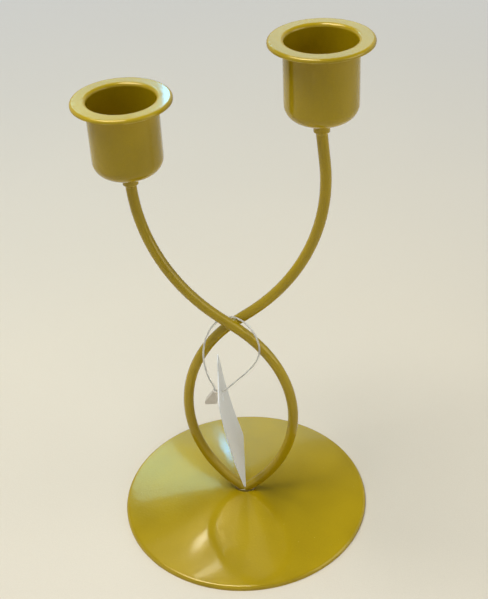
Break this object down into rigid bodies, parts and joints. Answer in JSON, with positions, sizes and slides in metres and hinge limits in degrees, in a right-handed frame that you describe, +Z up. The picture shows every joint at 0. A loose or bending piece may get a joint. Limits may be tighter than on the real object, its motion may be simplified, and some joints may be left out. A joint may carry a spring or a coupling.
{
  "type": "candle holder",
  "caption": "Painted wire candle holder: crossed, bowed arms of unequal height on a round pressed base, each with a flanged candle cup, and a card tag hung at the crossing.",
  "frame": {"origin": "centre of the base on the surface that the holder stands on", "axes": "+Z up; +X from the short arm's cup towards the long arm's cup; -Y towards the viewer of the picture"},
  "size_m": [0.1012, 0.1, 0.204],
  "materials": {
    "gold_paint": "glossy olive-gold paint",
    "zinc_steel": "bright zinc plating",
    "white_card": "matt white card",
    "cream_plastic": "smooth cream plastic",
    "cream_thread": "thin smooth thread"
  },
  "bodies": {
    "holder": {"base_plate": "gold_paint", "base_washer": "zinc_steel", "foot_stud": "zinc_steel", "base_nut": "zinc_steel", "arm_short": "gold_paint", "arm_long": "gold_paint", "crossing_braze": "gold_paint", "foot_braze": "gold_paint", "ferrule_short": "gold_paint", "ferrule_long": "gold_paint", "cup_short": "gold_paint", "cup_long": "gold_paint", "cup_screw_short": "zinc_steel", "cup_screw_long": "zinc_steel"},
    "tag_string": {"tag_loop": "cream_thread", "tag_lock": "cream_plastic"},
    "tag": {"tag_card": "white_card"}
  },
  "joints": [
    {"name": "loop_swing", "type": "hinge", "parent": "holder", "child": "tag_string", "pos_m": [0, 0.001, 0.093], "axis": [-1, 0, 0], "range_deg": [0, 45]},
    {"name": "card_swing", "type": "hinge", "parent": "tag_string", "child": "tag", "pos_m": [-0.0067, -0.003, 0.0599], "axis": [1, 0, 0], "range_deg": [-20, 20]}
  ]
}
